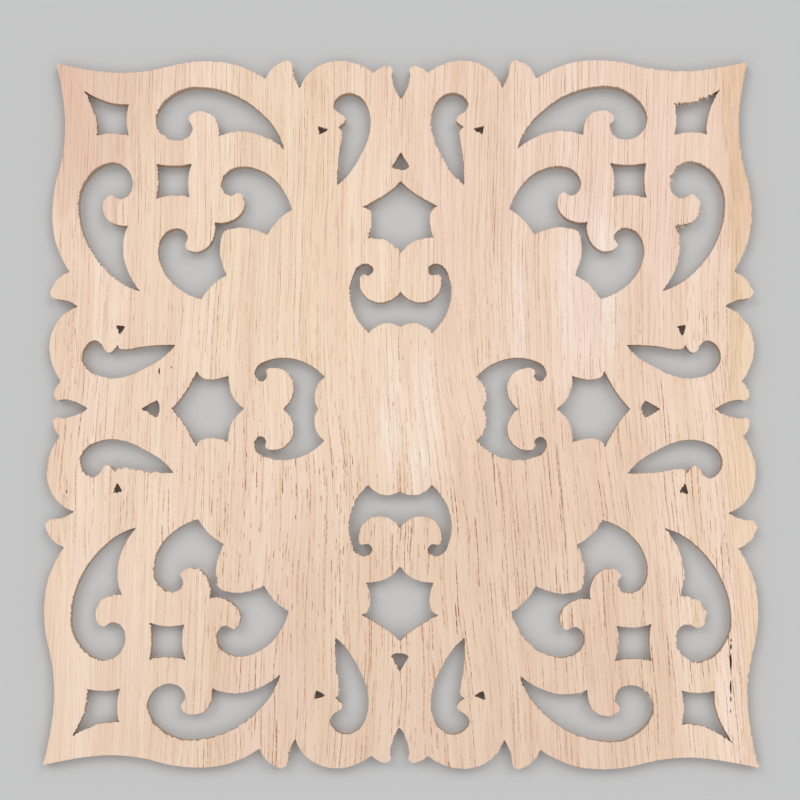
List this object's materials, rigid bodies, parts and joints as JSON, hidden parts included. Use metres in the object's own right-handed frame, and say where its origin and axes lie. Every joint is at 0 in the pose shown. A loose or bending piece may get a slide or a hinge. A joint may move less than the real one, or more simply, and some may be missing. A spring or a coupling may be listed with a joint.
{
  "type": "fretwork wood applique",
  "caption": "Flat square pale wood panel, fret-cut right through with scrolls, leaves and stars, to glue on as ornament.",
  "frame": {"origin": "centre of the flat back", "axes": "+Z out of the face, +Y along the grain, +X across it"},
  "size_m": [0.3, 0.3, 0.005],
  "materials": {
    "pale_wood": "bare sanded wood"
  },
  "bodies": {
    "root": {"fretwork_panel": "pale_wood"}
  },
  "joints": []
}
